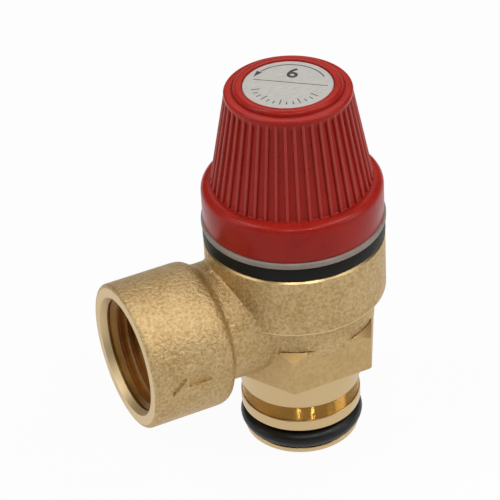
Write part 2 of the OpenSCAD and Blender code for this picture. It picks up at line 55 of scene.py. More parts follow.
hex_groove, hex_groove_low, slope_past = 0.15, 25.3, 0.5
outlet_height, outlet_reach = 27.1, 34.0
barrel_radius, barrel_rear, rear_round, mouth_round = 13.3, 18.0, 2.4, 0.7
bridge_radius, bridge_height, bridge_start = 10.9, 28.4, 6.0
forge_grain, forge_rounds = 0.3, 24
spare, tool_core = 2.0, 1.0


def colour(code):
    """Linear colour of an sRGB hex value."""
    parts = [int(code[i:i + 2], 16) / 255 for i in (1, 3, 5)]
    return [*(c / 12.92 if c <= 0.04045 else ((c + 0.055) / 1.055) ** 2.4 for c in parts), 1]


def add_node(material, kind, inputs, **settings):
    """Adds one shader node with its settings, and links or sets its inputs."""
    node = material.node_tree.nodes.new(kind)
    for key, value in settings.items():
        setattr(node, key, value)
    for socket, value in inputs.items():
        if isinstance(value, bpy.types.NodeSocket):
            material.node_tree.links.new(value, node.inputs[socket])
        else:
            node.inputs[socket].default_value = value
    return node


def finish(name, **values):
    """A new material, its shader with these values, and the piece's own coordinates."""
    material = bpy.data.materials.new(name)
    material.use_nodes = True
    shader = material.node_tree.nodes["Principled BSDF"]
    for socket, value in values.items():
        shader.inputs[socket.replace("_", " ")].default_value = value
    place = add_node(material, "ShaderNodeTexCoord", {}).outputs["Object"]
    return material, shader, place


# shot-blasted brass: a matt grain that sparkles a little; the hexagon's pressed flats are much smoother
patch_size, grit_size, grit_share = 6.0, 0.6, 0.75
forged = []
for name, dark, pale, depth in (("shot_blasted_brass", "#b2925f", "#d2b788", 0.32),
                                ("brass_pressed_flat", "#bc9d6b", "#c9ad7b", 0.12)):
    material, shader, place = finish(name, Metallic=1.0, Roughness=0.5)
    patches = add_node(material, "ShaderNodeTexNoise",
                       {"Vector": place, "Scale": 1 / (patch_size * MM), "Detail": 3.0})
    grit = add_node(material, "ShaderNodeTexNoise",
                    {"Vector": place, "Scale": 1 / (grit_size * MM), "Detail": 3.0, "Roughness": 0.6})
    mottle = add_node(material, "ShaderNodeMix",
                      {0: grit_share, 2: patches.outputs["Fac"], 3: grit.outputs["Fac"]})
    tone = add_node(material, "ShaderNodeValToRGB", {"Fac": mottle.outputs["Result"]})
    tone.color_ramp.elements[0].position, tone.color_ramp.elements[0].color = 0.36, colour(dark)
    tone.color_ramp.elements[1].position, tone.color_ramp.elements[1].color = 0.62, colour(pale)
    dents = add_node(material, "ShaderNodeBump",
                     {"Height": grit.outputs["Fac"], "Strength": 1.0, "Distance": depth * MM})
    material.node_tree.links.new(tone.outputs["Color"], shader.inputs["Base Color"])
    material.node_tree.links.new(dents.outputs["Normal"], shader.inputs["Normal"])
    forged.append(material)
forged_brass, flat_brass = forged

feed_mark, feed_depth = 0.22, 0.02


def turned_brass(name, code, roughness, spin=(0, 0, 0), centre=(0, 0, 0)):
    """Brass cut on a lathe: fine rings round the axis that it was spun on."""
    material, shader, place = finish(name, Metallic=1.0, Roughness=roughness, Base_Color=colour(code))
    turn = add_node(material, "ShaderNodeMapping", {"Vector": place, "Location": centre, "Rotation": spin})
    along = add_node(material, "ShaderNodeSeparateXYZ", {"Vector": turn.outputs["Vector"]})
    across = add_node(material, "ShaderNodeCombineXYZ", {"X": along.outputs["X"], "Y": along.outputs["Y"]})
    radius = add_node(material, "ShaderNodeVectorMath", {0: across.outputs["Vector"]}, operation="LENGTH")
    feed = add_node(material, "ShaderNodeCombineXYZ",
                    {"X": radius.outputs["Value"], "Y": along.outputs["Z"]})
    rings = add_node(material, "ShaderNodeTexNoise",
                     {"Vector": feed.outputs["Vector"], "Scale": 1 / (feed_mark * MM), "Detail": 2.0})
    marks = add_node(material, "ShaderNodeBump",
                     {"Height": rings.outputs["Fac"], "Strength": 0.35, "Distance": feed_depth * MM})
    material.node_tree.links.new(marks.outputs["Normal"], shader.inputs["Normal"])
    return material


# cut brass is bright and yellow, the facets on the corners are duller, and the mouth, which was dressed
# last, is the palest;
# the collar's lower edge is as pale, a painted highlight
cut_brass = turned_brass("brass_turned_on_valve_axis", "#af966a", 0.32)
facet_brass = turned_brass("brass_pressed_facet", "#b39361", 0.5)
edge_brass_painted_highlight = turned_brass("brass_collar_edge_painted_highlight", "#dcc393", 0.4)
mouth_brass = turned_brass("brass_turned_on_outlet_axis", "#dcc59b", 0.55,
                           (0, math.radians(90), 0), (-outlet_height * MM, 0, 0))


def turned(name, outline, segments=ROUND, closed=False):
    """Turns a half outline of (radius, height) points round the valve axis, as on a lathe."""
    bpy.ops.object.select_all(action="DESELECT")
    radius, height = outline[0]
    bpy.ops.mesh.primitive_circle_add(vertices=segments, radius=radius * MM, location=(0, 0, height * MM))
    piece = bpy.context.object
    piece.name = piece.data.name = name
    bpy.ops.object.transform_apply()
    bpy.ops.object.mode_set(mode="EDIT")
    bpy.ops.mesh.select_all(action="SELECT")
    for next_radius, next_height in outline[1:]:
        bpy.ops.mesh.extrude_region_move(
            TRANSFORM_OT_translate={"value": (0, 0, (next_height - height) * MM)})
        share = next_radius / radius
        bpy.ops.transform.resize(value=(share, share, 1), center_override=(0, 0, next_height * MM))
        radius, height = next_radius, next_height
    bpy.ops.mesh.select_all(action="SELECT")
    bpy.ops.mesh.remove_doubles(threshold=HAIR * MM)
    if not closed:
        bpy.ops.mesh.fill_holes(sides=0)
    bpy.ops.mesh.select_all(action="SELECT")
    bpy.ops.mesh.normals_make_consistent(inside=False)
    bpy.ops.object.mode_set(mode="OBJECT")
    return piece


def arc(radius, height, size, start, end, steps=8):
    """Points of a rounding in a half outline, between two angles in degrees."""
    angles = [math.radians(start + (end - start) * i / steps) for i in range(steps + 1)]
    return [(radius + size * math.cos(a), height + size * math.sin(a)) for a in angles]


# the round forms: a core that fills the collar, the crisp collar round it, and the neck
core = turned("valve_body", [
    (neck_radius - spare, collar_low + core_inset), (collar_radius - core_inset, collar_low + core_inset),
    (collar_radius - core_inset, collar_top + spare)])
collar = turned("collar", [
    (neck_radius - spare, collar_low),
    *arc(collar_radius - collar_edge, collar_low + collar_edge, collar_edge, -90, 0),
    (collar_radius, collar_top + spare)])
neck = turned("neck", [(neck_radius, hex_slope), (neck_radius, collar_low + spare)])


def apply_modifier(piece, kind, **settings):
    """Puts a modifier on a piece and applies it."""
    step = piece.modifiers.new(kind, kind)
    for key, value in settings.items():
        setattr(step, key, value)
    bpy.context.view_layer.objects.active = piece
    bpy.ops.object.modifier_apply(modifier=step.name)


def machine(piece, tool, operation="DIFFERENCE"):
    """Cuts a tool's shape into a piece, or joins it on; the new faces keep the tool's finish."""
    apply_modifier(piece, "BOOLEAN", operation=operation, object=tool, solver="EXACT",
                   material_mode="TRANSFER")
    apply_modifier(piece, "WELD", merge_threshold=HAIR * MM)
    bpy.data.objects.remove(tool)


# the spanner hexagon: a cone slopes its corners off towards the neck, and a small groove ends the slope
hex_corner = hex_flats / math.cos(math.radians(30)) / 2
bpy.ops.object.select_all(action="DESELECT")
bpy.ops.mesh.primitive_cylinder_add(
    vertices=6, radius=hex_corner * MM, depth=(hex_top - hex_low) * MM,
    location=(0, 0, (hex_top + hex_low) / 2 * MM), rotation=(0, 0, math.radians(90)))
hexagon = bpy.context.object
hexagon.data.materials.append(flat_brass)
bpy.ops.object.transform_apply()
apply_modifier(hexagon, "BEVEL", width=hex_edge * MM, segments=3, limit_method="ANGLE",
               angle_limit=math.radians(20))
hex_shoulder = hex_corner + slope_past
corner_slope = (hex_top - hex_slope) / (hex_shoulder - neck_radius)
corner_tool = turned("corner_tool", [
    (hex_corner + spare, hex_low - spare), (hex_corner + spare, hex_slope), (hex_shoulder, hex_slope),
    (neck_radius + hex_groove, hex_top - hex_groove * corner_slope),
    (neck_radius - hex_groove, hex_groove_low)])
corner_tool.data.materials.append(facet_brass)
machine(hexagon, corner_tool, "INTERSECT")


def place_piece(piece, turn, shift):
    """Turns a piece by angles in degrees, moves it by millimetres, and keeps the place in its mesh."""
    bpy.ops.object.select_all(action="DESELECT")
    piece.select_set(True)
    bpy.context.view_layer.objects.active = piece
    piece.rotation_euler = [math.radians(a) for a in turn]
    piece.location = [a * MM for a in shift]
    bpy.ops.object.transform_apply()


# the bridge from the chamber to the outlet, and the barrel of the outlet, both along -X
bridge = turned("bridge", [(bridge_radius, bridge_start), (bridge_radius, barrel_rear + spare)])
place_piece(bridge, (0, -90, 0), (0, 0, bridge_height))
barrel = turned("barrel", [
    *arc(barrel_radius - rear_round, barrel_rear + rear_round, rear_round, -90, 0),
    (barrel_radius, outlet_reach + spare)])
place_piece(barrel, (0, -90, 0), (0, 0, outlet_height))


def upright_plane(name, inner, outer, low, high):
    """An upright rectangle beside the valve axis, between two radii and two heights."""
    bpy.ops.object.select_all(action="DESELECT")
    bpy.ops.mesh.primitive_plane_add(size=1, rotation=(math.radians(90), 0, 0))
    piece = bpy.context.object
    piece.name = piece.data.name = name
    piece.scale = ((outer - inner) * MM, (high - low) * MM, 1)
    piece.location = ((outer + inner) / 2 * MM, 0, (high + low) / 2 * MM)
    bpy.ops.object.transform_apply()
    return piece


def pick(piece, test):
    """Opens a piece for shaping, with only those points selected whose place in millimetres passes."""
    bpy.ops.object.select_all(action="DESELECT")
    bpy.context.view_layer.objects.active = piece
    bpy.ops.object.mode_set(mode="EDIT")
    bpy.ops.mesh.select_mode(type="VERT")
    bpy.ops.mesh.select_all(action="DESELECT")
    bpy.ops.object.mode_set(mode="OBJECT")
    for vertex in piece.data.vertices:
        vertex.select = test(vertex.co / MM)
    bpy.ops.object.mode_set(mode="EDIT")
    bpy.ops.mesh.select_mode(type="VERT")


# the cast arrow: a shaft, a wider head pulled out of its end, and a point
arrow_tip, arrow_len, arrow_head, arrow_wide, arrow_shaft, arrow_proud = 31.0, 7.5, 3.2, 5.2, 2.1, 0.45
arrow_drop, arrow_barb, arrow_root = 0.8, 0.2, 3.0
arrow_height = outlet_height - arrow_drop
arrow = upright_plane("arrow", -arrow_tip + arrow_head, -arrow_tip + arrow_len,
                      arrow_height - arrow_shaft / 2, arrow_height + arrow_shaft / 2)
pick(arrow, lambda place: place.x < -arrow_tip + arrow_head + arrow_barb / 2)
bpy.ops.mesh.extrude_region_move(TRANSFORM_OT_translate={"value": (-arrow_barb * MM, 0, 0)})
bpy.ops.transform.resize(value=(1, 1, arrow_wide / arrow_shaft), center_override=(0, 0, arrow_height * MM))
bpy.ops.mesh.extrude_region_move(
    TRANSFORM_OT_translate={"value": ((arrow_barb - arrow_head) * MM, 0, 0)})
bpy.ops.mesh.merge(type="CENTER")
bpy.ops.mesh.select_all(action="SELECT")
bpy.ops.transform.translate(value=(0, -(barrel_radius + arrow_proud) * MM, 0))
bpy.ops.mesh.extrude_region_move(TRANSFORM_OT_translate={"value": (0, arrow_root * MM, 0)})
bpy.ops.mesh.select_all(action="SELECT")
bpy.ops.mesh.normals_make_consistent(inside=False)
bpy.ops.object.mode_set(mode="OBJECT")


def join(pieces):
    """Makes one mesh of several pieces, under the first one's name."""
    bpy.ops.object.select_all(action="DESELECT")
    for piece in pieces:
        piece.select_set(True)
    bpy.context.view_layer.objects.active = pieces[0]
    bpy.ops.object.join()
    return pieces[0]


# the rough forms melt into one skin with soft fillets, and the crisp ones are set on afterwards
body = join([core, neck, bridge, barrel])
for part in (body, collar, arrow):
    part.data.materials.append(forged_brass)
apply_modifier(body, "REMESH", mode="VOXEL", voxel_size=forge_grain * MM)
apply_modifier(body, "SMOOTH", factor=0.5, iterations=forge_rounds)
# the collar's lower edge is painted a paler brass, a painted highlight that draws a fine bright line
collar.data.materials.append(edge_brass_painted_highlight)
for polygon in collar.data.polygons:
    middle = polygon.center / MM
    polygon.material_index = int(middle.z < collar_low + collar_edge
                                 and middle.xy.length > collar_radius - collar_edge)
for part in (collar, arrow, hexagon):
    machine(body, part, "UNION")

# the collar's rim is faced and chamfered; the mouth is faced, and its round edge stays as it was forged
rim_tool = turned("rim_tool", [
    (tool_core, collar_top), (collar_radius - rim_chamfer, collar_top),
    (collar_radius + rim_past, collar_top - rim_chamfer - rim_past),
    (collar_radius + spare, collar_top - rim_chamfer - rim_past),
    (collar_radius + spare, collar_top + 2 * spare), (tool_core, collar_top + 2 * spare)])
rim_tool.data.materials.append(cut_brass)
machine(body, rim_tool)

mouth_tool = turned("mouth_tool", [
    (tool_core, outlet_reach),
    *arc(barrel_radius - mouth_round, outlet_reach - mouth_round, mouth_round, 90, 0),
    (barrel_radius + spare, outlet_reach - mouth_round), (barrel_radius + spare, outlet_reach + 2 * spare),
    (tool_core, outlet_reach + 2 * spare)])
mouth_tool.data.materials.append(mouth_brass)
mouth_tool.data.materials.append(forged_brass)
for polygon in mouth_tool.data.polygons:
    polygon.material_index = int(polygon.center.xy.length > (barrel_radius - mouth_round) * MM)
place_piece(mouth_tool, (0, -90, 0), (0, 0, outlet_height))
machine(body, mouth_tool)

# the chamber: a throat up to the raised seat, a wide room round it, and the bore for the bonnet
throat_radius, seat_radius, chamber_radius, thread_radius = 6.5, 7.6, 10.6, 13.3
floor_height, seat_height, ledge_height = 20.5, 22.0, 36.0
chamber_tool = turned("chamber_tool", [
    (throat_radius, hex_low - spare), (throat_radius, seat_height), (seat_radius, seat_height),
    (seat_radius, floor_height), (chamber_radius, floor_height), (chamber_radius, ledge_height),
    (thread_radius, ledge_height), (thread_radius, collar_top + spare)])
chamber_tool.data.materials.append(cut_brass)
machine(body, chamber_tool)

# the underside is faced flat round the spigot
face_radius, face_depth = 15.0, 9.0
face_tool = turned("face_tool", [(face_radius, hex_low), (face_radius, hex_low - face_depth)])
face_tool.data.materials.append(cut_brass)
machine(body, face_tool)

passage_radius, minor_radius, major_radius, thread_end = 6.5, 9.3155, 10.4775, 19.0
sink_radius, sink_end, sink_depth, relief_depth, first_tooth = 10.9, 10.35, 1.2, 1.7, 2.4
# tapped brass: a dull film of cutting oil, brown in the grooves; the relief behind the sink is painted
# darkest, a painted shade inside the mouth, and the crests are painted paler, a painted highlight
stain_size = 3.0
tapped = []
for name, dark, pale in (("brass_tapped_groove", "#c08d44", "#d09e52"),
                         ("brass_tapped_relief_painted_shade", "#74501f", "#855e27"),
                         ("brass_tapped_crest_painted_highlight", "#d8b88c", "#e2c69c")):
    material, shader, place = finish(name, Metallic=0.8, Roughness=0.4)
    stains = add_node(material, "ShaderNodeTexNoise",
                      {"Vector": place, "Scale": 1 / (stain_size * MM), "Detail": 3.0})
    tone = add_node(material, "ShaderNodeValToRGB", {"Fac": stains.outputs["Fac"]})
    tone.color_ramp.elements[0].position, tone.color_ramp.elements[0].color = 0.35, colour(dark)
    tone.color_ramp.elements[1].position, tone.color_ramp.elements[1].color = 0.65, colour(pale)
    material.node_tree.links.new(tone.outputs["Color"], shader.inputs["Base Color"])
    tapped.append(material)
tapped_brass, relief_brass_painted_shade, crest_brass_painted_highlight = tapped

# the outlet: a plain passage, the hole for the thread, a relief, and a tapered sink at the mouth
outlet_tool = turned("outlet_tool", [
    (passage_radius, bridge_start), (passage_radius, thread_end), (minor_radius, thread_end),
    (minor_radius, outlet_reach - first_tooth), (sink_end, outlet_reach - relief_depth),
    (sink_end, outlet_reach - sink_depth), (sink_radius, outlet_reach),
    (2 * sink_radius - sink_end, outlet_reach + sink_depth)])
for material in (crest_brass_painted_highlight, relief_brass_painted_shade, mouth_brass):
    outlet_tool.data.materials.append(material)
# the crests get the paler brass, a painted highlight, and the relief the darker one, a painted shade
for polygon in outlet_tool.data.polygons:
    depth = outlet_reach - polygon.center.z / MM
    polygon.material_index = int(depth < first_tooth) + int(depth < sink_depth)
place_piece(outlet_tool, (0, -90, 0), (0, 0, outlet_height))
machine(body, outlet_tool)


def wind(piece, degrees, climb, steps):
    """Winds a flat outline round the valve axis while it climbs, and closes the two ends."""
    pick(piece, lambda place: True)
    bpy.ops.mesh.delete(type="ONLY_FACE")
    bpy.ops.object.mode_set(mode="OBJECT")
    apply_modifier(piece, "SCREW", angle=math.radians(degrees), screw_offset=climb * MM, iterations=1,
                   steps=steps, render_steps=steps, use_smooth_shade=False)
    pick(piece, lambda place: True)
    bpy.ops.mesh.fill_holes(sides=0)
    bpy.ops.mesh.select_all(action="SELECT")
    bpy.ops.mesh.normals_make_consistent(inside=False)
    bpy.ops.object.mode_set(mode="OBJECT")


# the pipe thread, G1/2: a tooth of 55 degrees wound along the hole at fourteen turns to the inch;
# the cutter flares at its foot, so that the crests come out rounded and catch a line of light
thread_pitch, thread_turns, thread_steps, thread_lead = 25.4 / 14, 6, 64, 1.97
tooth_flat, tooth_waist, waist_up, tooth_foot, foot_down = 0.3, 1.25, 0.25, 1.54, 0.05
thread_start = thread_end + thread_lead
thread_tool = upright_plane("thread_tool", minor_radius + waist_up, major_radius,
                            thread_start - tooth_waist / 2, thread_start + tooth_waist / 2)
pick(thread_tool, lambda place: place.x > minor_radius + 2 * waist_up)
bpy.ops.transform.resize(value=(1, 1, tooth_flat / tooth_waist), center_override=(0, 0, thread_start * MM))
bpy.ops.object.mode_set(mode="OBJECT")
pick(thread_tool, lambda place: place.x < minor_radius + 2 * waist_up)
bpy.ops.mesh.extrude_region_move(TRANSFORM_OT_translate={"value": (-(waist_up + foot_down) * MM, 0, 0)})
bpy.ops.transform.resize(value=(1, 1, tooth_foot / tooth_waist), center_override=(0, 0, thread_start * MM))
bpy.ops.mesh.select_all(action="SELECT")
bpy.ops.mesh.dissolve_faces()
bpy.ops.object.mode_set(mode="OBJECT")
wind(thread_tool, 360 * thread_turns, thread_pitch * thread_turns, thread_steps * thread_turns)
place_piece(thread_tool, (0, -90, 0), (0, 0, outlet_height))
thread_tool.data.materials.append(tapped_brass)
machine(body, thread_tool)


def smooth(piece, degrees):
    """Shades a piece smooth, but for edges sharper than the given angle."""
    bpy.ops.object.select_all(action="DESELECT")
    piece.select_set(True)
    bpy.context.view_layer.objects.active = piece
    bpy.ops.object.shade_smooth_by_angle(angle=math.radians(degrees))


smooth(body, 35)
apply_modifier(body, "WEIGHTED_NORMAL", keep_sharp=True)
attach(body, "valve")
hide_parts("valve_body")


# Inlet spigot: turned on the foot of the same forging, with a nose, a groove, two lands and a clip band.
# The lands stay as the tool left them, pale and silky; the band that the boiler's clip grips is polished.
# The waterway is drilled through from the end face.
spigot_radius, nose_radius, nose_top = 11.0, 10.5, 1.1
groove_radius, groove_top = 8.025, 5.55
clip_radius, clip_low, clip_top = 10.75, 7.8, 10.9
waterway_radius, nose_chamfer, broken_edge = 7.0, 0.2, 0.15

# fine-turned brass: pale and silky, with rings too fine to count
land_brass = turned_brass("brass_fine_turned_land", "#ccb184", 0.34)
# polishing round and round leaves hairlines, which draw a lamp's reflection out into an upright streak;
# they are drawn as rings of a tenth of a millimetre, coarser than real ones, so that they show
smear_size = 2.0
polished_brass, shader, place = finish("brass_polished_on_lathe", Metallic=1.0,
                                       Base_Color=colour("#b48640"))
smear = add_node(polished_brass, "ShaderNodeTexNoise",
                 {"Vector": place, "Scale": 1 / (smear_size * MM), "Detail": 2.0})
gloss = add_node(polished_brass, "ShaderNodeMapRange",
                 {"Value": smear.outputs["Fac"], "From Min": 0.3, "From Max": 0.7,
                  "To Min": 0.1, "To Max": 0.16})
polished_brass.node_tree.links.new(gloss.outputs["Result"], shader.inputs["Roughness"])
ring_count, ring_lean = 26, 60
ring_pitch = (clip_top - clip_low) / ring_count
ring_round = ring_pitch / 2 / math.sin(math.radians(ring_lean))
band = []
for i in range(ring_count):
    band += arc(clip_radius - ring_round, clip_low + ring_pitch * (i + 0.5), ring_round,
                -ring_lean, ring_lean, 6)

spigot = turned("inlet_spigot", [
    (waterway_radius, hex_low), (waterway_radius, nose_chamfer), (waterway_radius + nose_chamfer, 0),
    (nose_radius - nose_chamfer, 0), (nose_radius, nose_chamfer),
    *arc(nose_radius - broken_edge, nose_top - broken_edge, broken_edge, 0, 90, 3),
    (groove_radius, nose_top), (groove_radius, groove_top),
    *arc(spigot_radius - broken_edge, groove_top + broken_edge, broken_edge, -90, 0, 3),
    *arc(spigot_radius - broken_edge, clip_low - broken_edge, broken_edge, 0, 90, 3),
    *band,
    *arc(spigot_radius - broken_edge, clip_top + broken_edge, broken_edge, -90, 0, 3),
    (spigot_radius, hex_low), (waterway_radius, hex_low)], closed=True)
spigot.data.materials.append(land_brass)
spigot.data.materials.append(polished_brass)
for polygon in spigot.data.polygons:
    middle = polygon.center / MM
    polygon.material_index = int(clip_low < middle.z < clip_top and middle.xy.length > groove_radius)
smooth(spigot, 30)
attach(spigot, "valve")
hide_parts("inlet_spigot")


# Sealing ring: a moulded ring of black nitrile rubber, stretched into the spigot's groove.
# The two halves of its mould leave a hair-thin line round the outside.
ring_middle, ring_section, ring_height, mould_line, line_spread = 9.65, 1.6, 2.75, 0.02, 4

# moulded rubber: nearly black, with a soft broad sheen and a faint bloom of talc
bloom_size, bloom_depth = 1.5, 0.05
nitrile, shader, place = finish("moulded_nitrile_rubber", Base_Color=colour("#191917"),
                                Specular_IOR_Level=0.3)
bloom = add_node(nitrile, "ShaderNodeTexNoise",
                 {"Vector": place, "Scale": 1 / (bloom_size * MM), "Detail": 4.0})
sheen = add_node(nitrile, "ShaderNodeMapRange",
                 {"Value": bloom.outputs["Fac"], "From Min": 0.3, "From Max": 0.7,
                  "To Min": 0.34, "To Max": 0.5})
skin = add_node(nitrile, "ShaderNodeBump",
                {"Height": bloom.outputs["Fac"], "Strength": 0.15, "Distance": bloom_depth * MM})
nitrile.node_tree.links.new(sheen.outputs["Result"], shader.inputs["Roughness"])
nitrile.node_tree.links.new(skin.outputs["Normal"], shader.inputs["Normal"])

o_ring = turned("inlet_o_ring", [
    (ring_middle + ring_section + mould_line, ring_height),
    *arc(ring_middle, ring_height, ring_section, line_spread, 360 - line_spread, 28),
    (ring_middle + ring_section + mould_line, ring_height)], closed=True)
o_ring.data.materials.append(nitrile)
smooth(o_ring, 60)
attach(o_ring, "valve")
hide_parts("inlet_o_ring")


# Seat seal, its carrier and the stem: rubber disc, turned brass cup and rod, screwed together from below.
# They lift as one when the pressure or the knob pulls the seal off its seat.
def dress(names, material):
    """Gives pieces that keep their CAD shape their finish."""
    for name in names:
        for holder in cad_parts[name].material_slots:
            holder.material = material


dress(["stem", "disc_holder"], cut_brass)
dress(["seat_seal"], nitrile)

# zinc-plated steel: cool grey with a satin sheen and small clouds from the plating bath
cloud_size = 2.0
zinc_steel, shader, place = finish("zinc_plated_steel", Metallic=1.0, Base_Color=colour("#b4b7ba"))
clouds = add_node(zinc_steel, "ShaderNodeTexNoise",
                  {"Vector": place, "Scale": 1 / (cloud_size * MM), "Detail": 3.0})
satin = add_node(zinc_steel, "ShaderNodeMapRange",
                 {"Value": clouds.outputs["Fac"], "From Min": 0.3, "From Max": 0.7,
                  "To Min": 0.26, "To Max": 0.42})
zinc_steel.node_tree.links.new(satin.outputs["Result"], shader.inputs["Roughness"])
dress(["seal_washer", "seal_screw", "diaphragm_ring", "lower_spring_plate"], zinc_steel)


# Diaphragm: a moulded disc of rubber that keeps the water out of the spring housing.
# Its rim is clamped under the bonnet and its middle between the carrier and the spring plate.
# The two stretches of its fold slide past each other when the stem lifts.
diaphragm_low, diaphragm_top, diaphragm_radius, stem_hole = 36.0, 37.5, 13.1, 3.1
fold_low, fold_edge, fold_root = 34.3, 0.25, 0.5
rim_inner, rim_tip, middle_outer, middle_tip = 7.8, 0.3, 7.65, 0.175
diaphragm_rim = turned("diaphragm_rim", [
    (diaphragm_radius, diaphragm_low), (diaphragm_radius, diaphragm_top),
    *arc(rim_inner + fold_edge, diaphragm_top - fold_edge, fold_edge, 90, 180, 4),
    (rim_inner, fold_low), *arc(rim_inner + rim_tip, fold_low, rim_tip, 180, 360, 6),
    *arc(rim_inner + 2 * rim_tip + fold_root, diaphragm_low - fold_root, fold_root, 180, 90, 5),
    (diaphragm_radius, diaphragm_low)], closed=True)
diaphragm_middle = turned("diaphragm_middle", [
    (stem_hole, diaphragm_low), (stem_hole, diaphragm_top),
    *arc(middle_outer - fold_edge, diaphragm_top - fold_edge, fold_edge, 90, 0, 4),
    *arc(middle_outer - middle_tip, fold_low, middle_tip, 0, -180, 6),
    (middle_outer - 2 * middle_tip, diaphragm_low), (stem_hole, diaphragm_low)], closed=True)
for piece, body_name in ((diaphragm_rim, "valve"), (diaphragm_middle, "stem")):
    piece.data.materials.append(nitrile)
    smooth(piece, 40)
    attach(piece, body_name)
    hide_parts("diaphragm")


# Spring: cold-wound steel wire, which holds the seal down until the water's pressure beats it.
# It stands on the stem's plate and pushes up against the washer under the adjusting nut.
coil_radius, wire_radius, coil_low, coil_high, coil_turns = 6.2, 1.0, 40.55, 54.4, 4.5
spring_top, spring_kept, wire_sides, coil_steps = 55.45, 0.9, 20, 48
bpy.ops.object.select_all(action="DESELECT")
bpy.ops.mesh.primitive_circle_add(
    vertices=wire_sides, radius=wire_radius * MM, rotation=(math.radians(90), 0, 0),
    location=(coil_radius * MM, 0, coil_low * MM))
spring = bpy.context.object
spring.name = spring.data.name = "spring"
bpy.ops.object.transform_apply()
wind(spring, 360 * coil_turns, coil_high - coil_low, int(coil_steps * coil_turns))
spring.data.materials.append(zinc_steel)
smooth(spring, 40)
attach(spring, "valve")
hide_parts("spring")
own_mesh(spring)
dress(["upper_spring_washer"], zinc_steel)
dress(["adjusting_nut", "lock_ring"], cut_brass)


# Bonnet: moulded in black glass-filled nylon and screwed into the collar; its flange is the black band.
# Its long neck houses the spring, and three ramps on top lift the knob when it is turned.
sleeve_radius, sleeve_low = 13.2, 38.3
flange_radius, flange_top, flange_edge = 16.15, 45.25, 0.2
housing_radius, housing_top, cavity_radius = 10.0, 62.05, 7.8
ramp_inner, ramp_outer, ramp_start, ramp_sweep = 8.05, 9.75, -15, 110
ramp_base, ramp_climb, ramp_root, ramp_steps, ramp_count = 0.5, 2.2, 0.1, 22, 3

# glass-filled nylon: a dull near-black with a mottle where the fibres lie under the skin,
# drawn coarser than the fibres are, so that it shows
fibre_size = 0.5
black_nylon, shader, place = finish("glass_filled_black_nylon", Base_Color=colour("#100f0b"),
                                    Specular_IOR_Level=0.16)
fibres = add_node(black_nylon, "ShaderNodeTexNoise",
                  {"Vector": place, "Scale": 1 / (fibre_size * MM), "Detail": 3.0})
mottle = add_node(black_nylon, "ShaderNodeMapRange",
                  {"Value": fibres.outputs["Fac"], "From Min": 0.3, "From Max": 0.7,
                   "To Min": 0.42, "To Max": 0.6})
black_nylon.node_tree.links.new(mottle.outputs["Result"], shader.inputs["Roughness"])

bonnet = turned("bonnet", [
    (cavity_radius, sleeve_low), (sleeve_radius, sleeve_low), (sleeve_radius, collar_top),
    *arc(flange_radius - flange_edge, collar_top + flange_edge, flange_edge, -90, 0, 4),
    *arc(flange_radius - flange_edge, flange_top - flange_edge, flange_edge, 0, 90, 4),
    (housing_radius, flange_top),
    *arc(housing_radius - flange_edge, housing_top - flange_edge, flange_edge, 0, 90, 4),
    (cavity_radius, housing_top), (cavity_radius, sleeve_low)], closed=True)
bonnet.data.materials.append(black_nylon)
ramps = []
for i in range(ramp_count):
    ramp = upright_plane("ramp", ramp_inner, ramp_outer, housing_top - ramp_climb - ramp_root,
                         housing_top + ramp_base)
    wind(ramp, ramp_sweep, ramp_climb, ramp_steps)
    ramp.data.materials.append(black_nylon)
    place_piece(ramp, (0, 0, ramp_start + 360 / ramp_count * i), (0, 0, 0))
    ramps.append(ramp)
machine(bonnet, join(ramps), "UNION")
smooth(bonnet, 30)
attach(bonnet, "valve")
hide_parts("bonnet")


# Slip ring: a flat ring of grey acetal between the bonnet and the knob, so that the knob turns freely.
# Its rounded edge shows as the pale band over the black flange.
slip_inner, slip_radius, slip_top, slip_edge = 10.6, 16.3, 46.4, 0.25

# moulded acetal: waxy mid grey with a low sheen
swirl_size = 4.0
grey_acetal, shader, place = finish("moulded_grey_acetal", Roughness=0.45, Specular_IOR_Level=0.2)
swirl = add_node(grey_acetal, "ShaderNodeTexNoise",
                 {"Vector": place, "Scale": 1 / (swirl_size * MM), "Detail": 3.0})
shade = add_node(grey_acetal, "ShaderNodeValToRGB", {"Fac": swirl.outputs["Fac"]})
shade.color_ramp.elements[0].position, shade.color_ramp.elements[0].color = 0.35, colour("#887d74")
shade.color_ramp.elements[1].position, shade.color_ramp.elements[1].color = 0.65, colour("#958980")
grey_acetal.node_tree.links.new(shade.outputs["Color"], shader.inputs["Base Color"])

slip_ring = turned("slip_ring", [
    (slip_inner, flange_top), *arc(slip_radius - slip_edge, flange_top + slip_edge, slip_edge, -90, 0, 4),
    *arc(slip_radius - slip_edge, slip_top - slip_edge, slip_edge, 0, 90, 4),
    (slip_inner, slip_top), (slip_inner, flange_top)], closed=True)
slip_ring.data.materials.append(grey_acetal)
smooth(slip_ring, 40)
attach(slip_ring, "valve")
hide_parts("slip_ring")


# Knob: one moulding in glossy red ABS, a skirt and a cone with grip ribs, hung on the stem's neck.
# Three blocks under its roof ride up the bonnet's ramps and lift the stem when the knob is turned.
knob_low, skirt_radius, skirt_edge, knob_wall, shelf_width = 46.45, 16.0, 0.2, 1.5, 1.7
shelf_height, shelf_round, root_fillet = 53.5, 1.4, 0.3
root_radius, cone_lean, cone_top, flute_end = 13.73, 10.5, 70.95, 1.2
shoulder_radius, shoulder_top, shoulder_round = 11.106, 71.75, 0.5
lip_radius, lip_round, lip_groove, knob_top = 9.506, 0.8, 0.17, 72.65
label_hole, label_floor, hole_edge = 7.9, 71.9, 0.2
pocket_radius, pocket_floor, bore_radius = 5.0, 69.85, 2.58
boss_radius, boss_low, web_low, cup_radius, roof = 4.5, 65.95, 68.35, 6.5, 70.45
rib_count, rib_width, rib_proud, rib_draft, rib_edge, rib_root = 45, 0.44, 0.56, 0.24, 0.2, 0.3
block_sweep, block_low, block_climb, block_root, block_steps = 24, 62.91, 0.48, 0.15, 6

